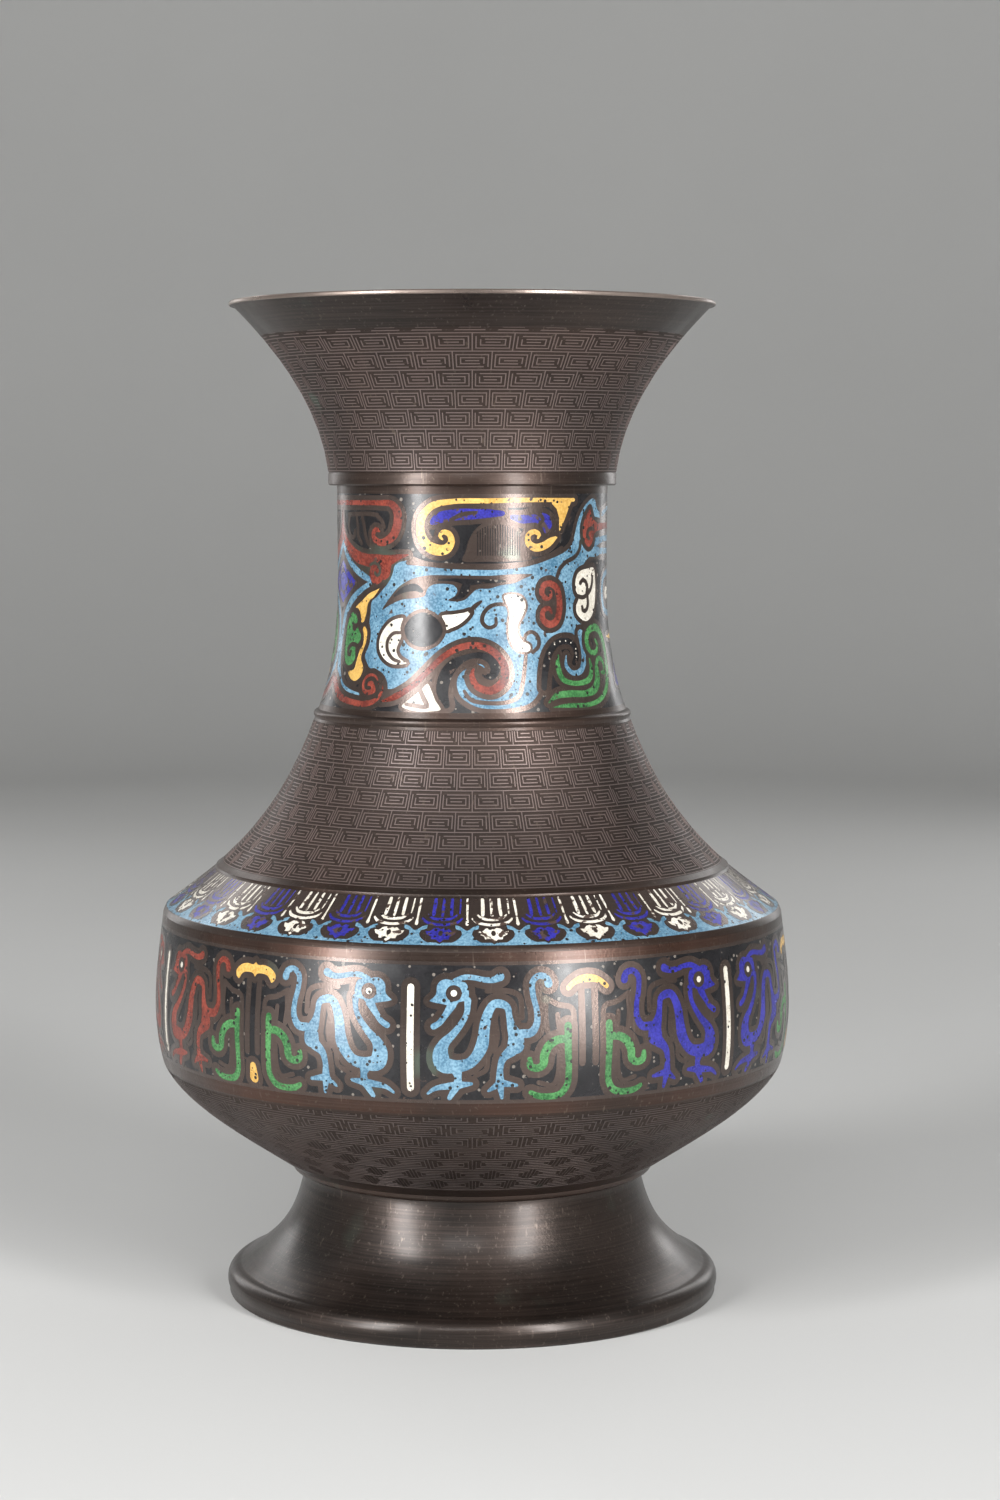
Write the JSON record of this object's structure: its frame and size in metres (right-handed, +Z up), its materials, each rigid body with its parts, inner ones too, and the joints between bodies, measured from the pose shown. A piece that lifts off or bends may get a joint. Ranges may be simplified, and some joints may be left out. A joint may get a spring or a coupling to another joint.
{
  "type": "enamelled bronze vase",
  "caption": "Archaic-form bronze vase with a trumpet mouth, enamelled neck, sloping shoulder, rounded belly and flared foot, for flowers or display.",
  "frame": {"origin": "centre of the foot's bottom ring, on the ground", "axes": "+Z up along the vase's axis; -Y is the side the picture was taken from; +X to its right"},
  "size_m": [0.196, 0.196, 0.3052],
  "materials": {
    "bronze": "dark brown patinated cast bronze, satin with waxed highlights",
    "enamel_turquoise": "ground and polished vitreous enamel, fine pits",
    "enamel_blue": "ground and polished vitreous enamel, fine pits",
    "enamel_red": "ground and polished vitreous enamel, fine pits",
    "enamel_yellow": "ground and polished vitreous enamel, fine pits",
    "enamel_green": "ground and polished vitreous enamel, fine pits",
    "enamel_white": "ground and polished vitreous enamel, fine pits",
    "enamel_black": "ground and polished vitreous enamel, fine pits"
  },
  "bodies": {
    "root": {"mouth": "bronze", "neck": "bronze", "shoulder": "bronze", "drum": "bronze", "bowl": "bronze", "foot": "bronze", "base_plate": "bronze", "lappets_white": "enamel_white", "lappets_blue": "enamel_blue", "scallops_turquoise": "enamel_turquoise", "birds_turquoise": "enamel_turquoise", "birds_blue": "enamel_blue", "birds_red": "enamel_red", "panel_bars_white": "enamel_white", "caps_yellow": "enamel_yellow", "scrolls_green": "enamel_green", "drops_yellow": "enamel_yellow", "belly_ground_black": "enamel_black", "lozenge_blue": "enamel_blue", "mask_red": "enamel_red", "mask_turquoise": "enamel_turquoise", "mask_yellow": "enamel_yellow", "mask_blue": "enamel_blue", "mask_green": "enamel_green", "mask_white": "enamel_white", "mask_black": "enamel_black"}
  },
  "joints": []
}
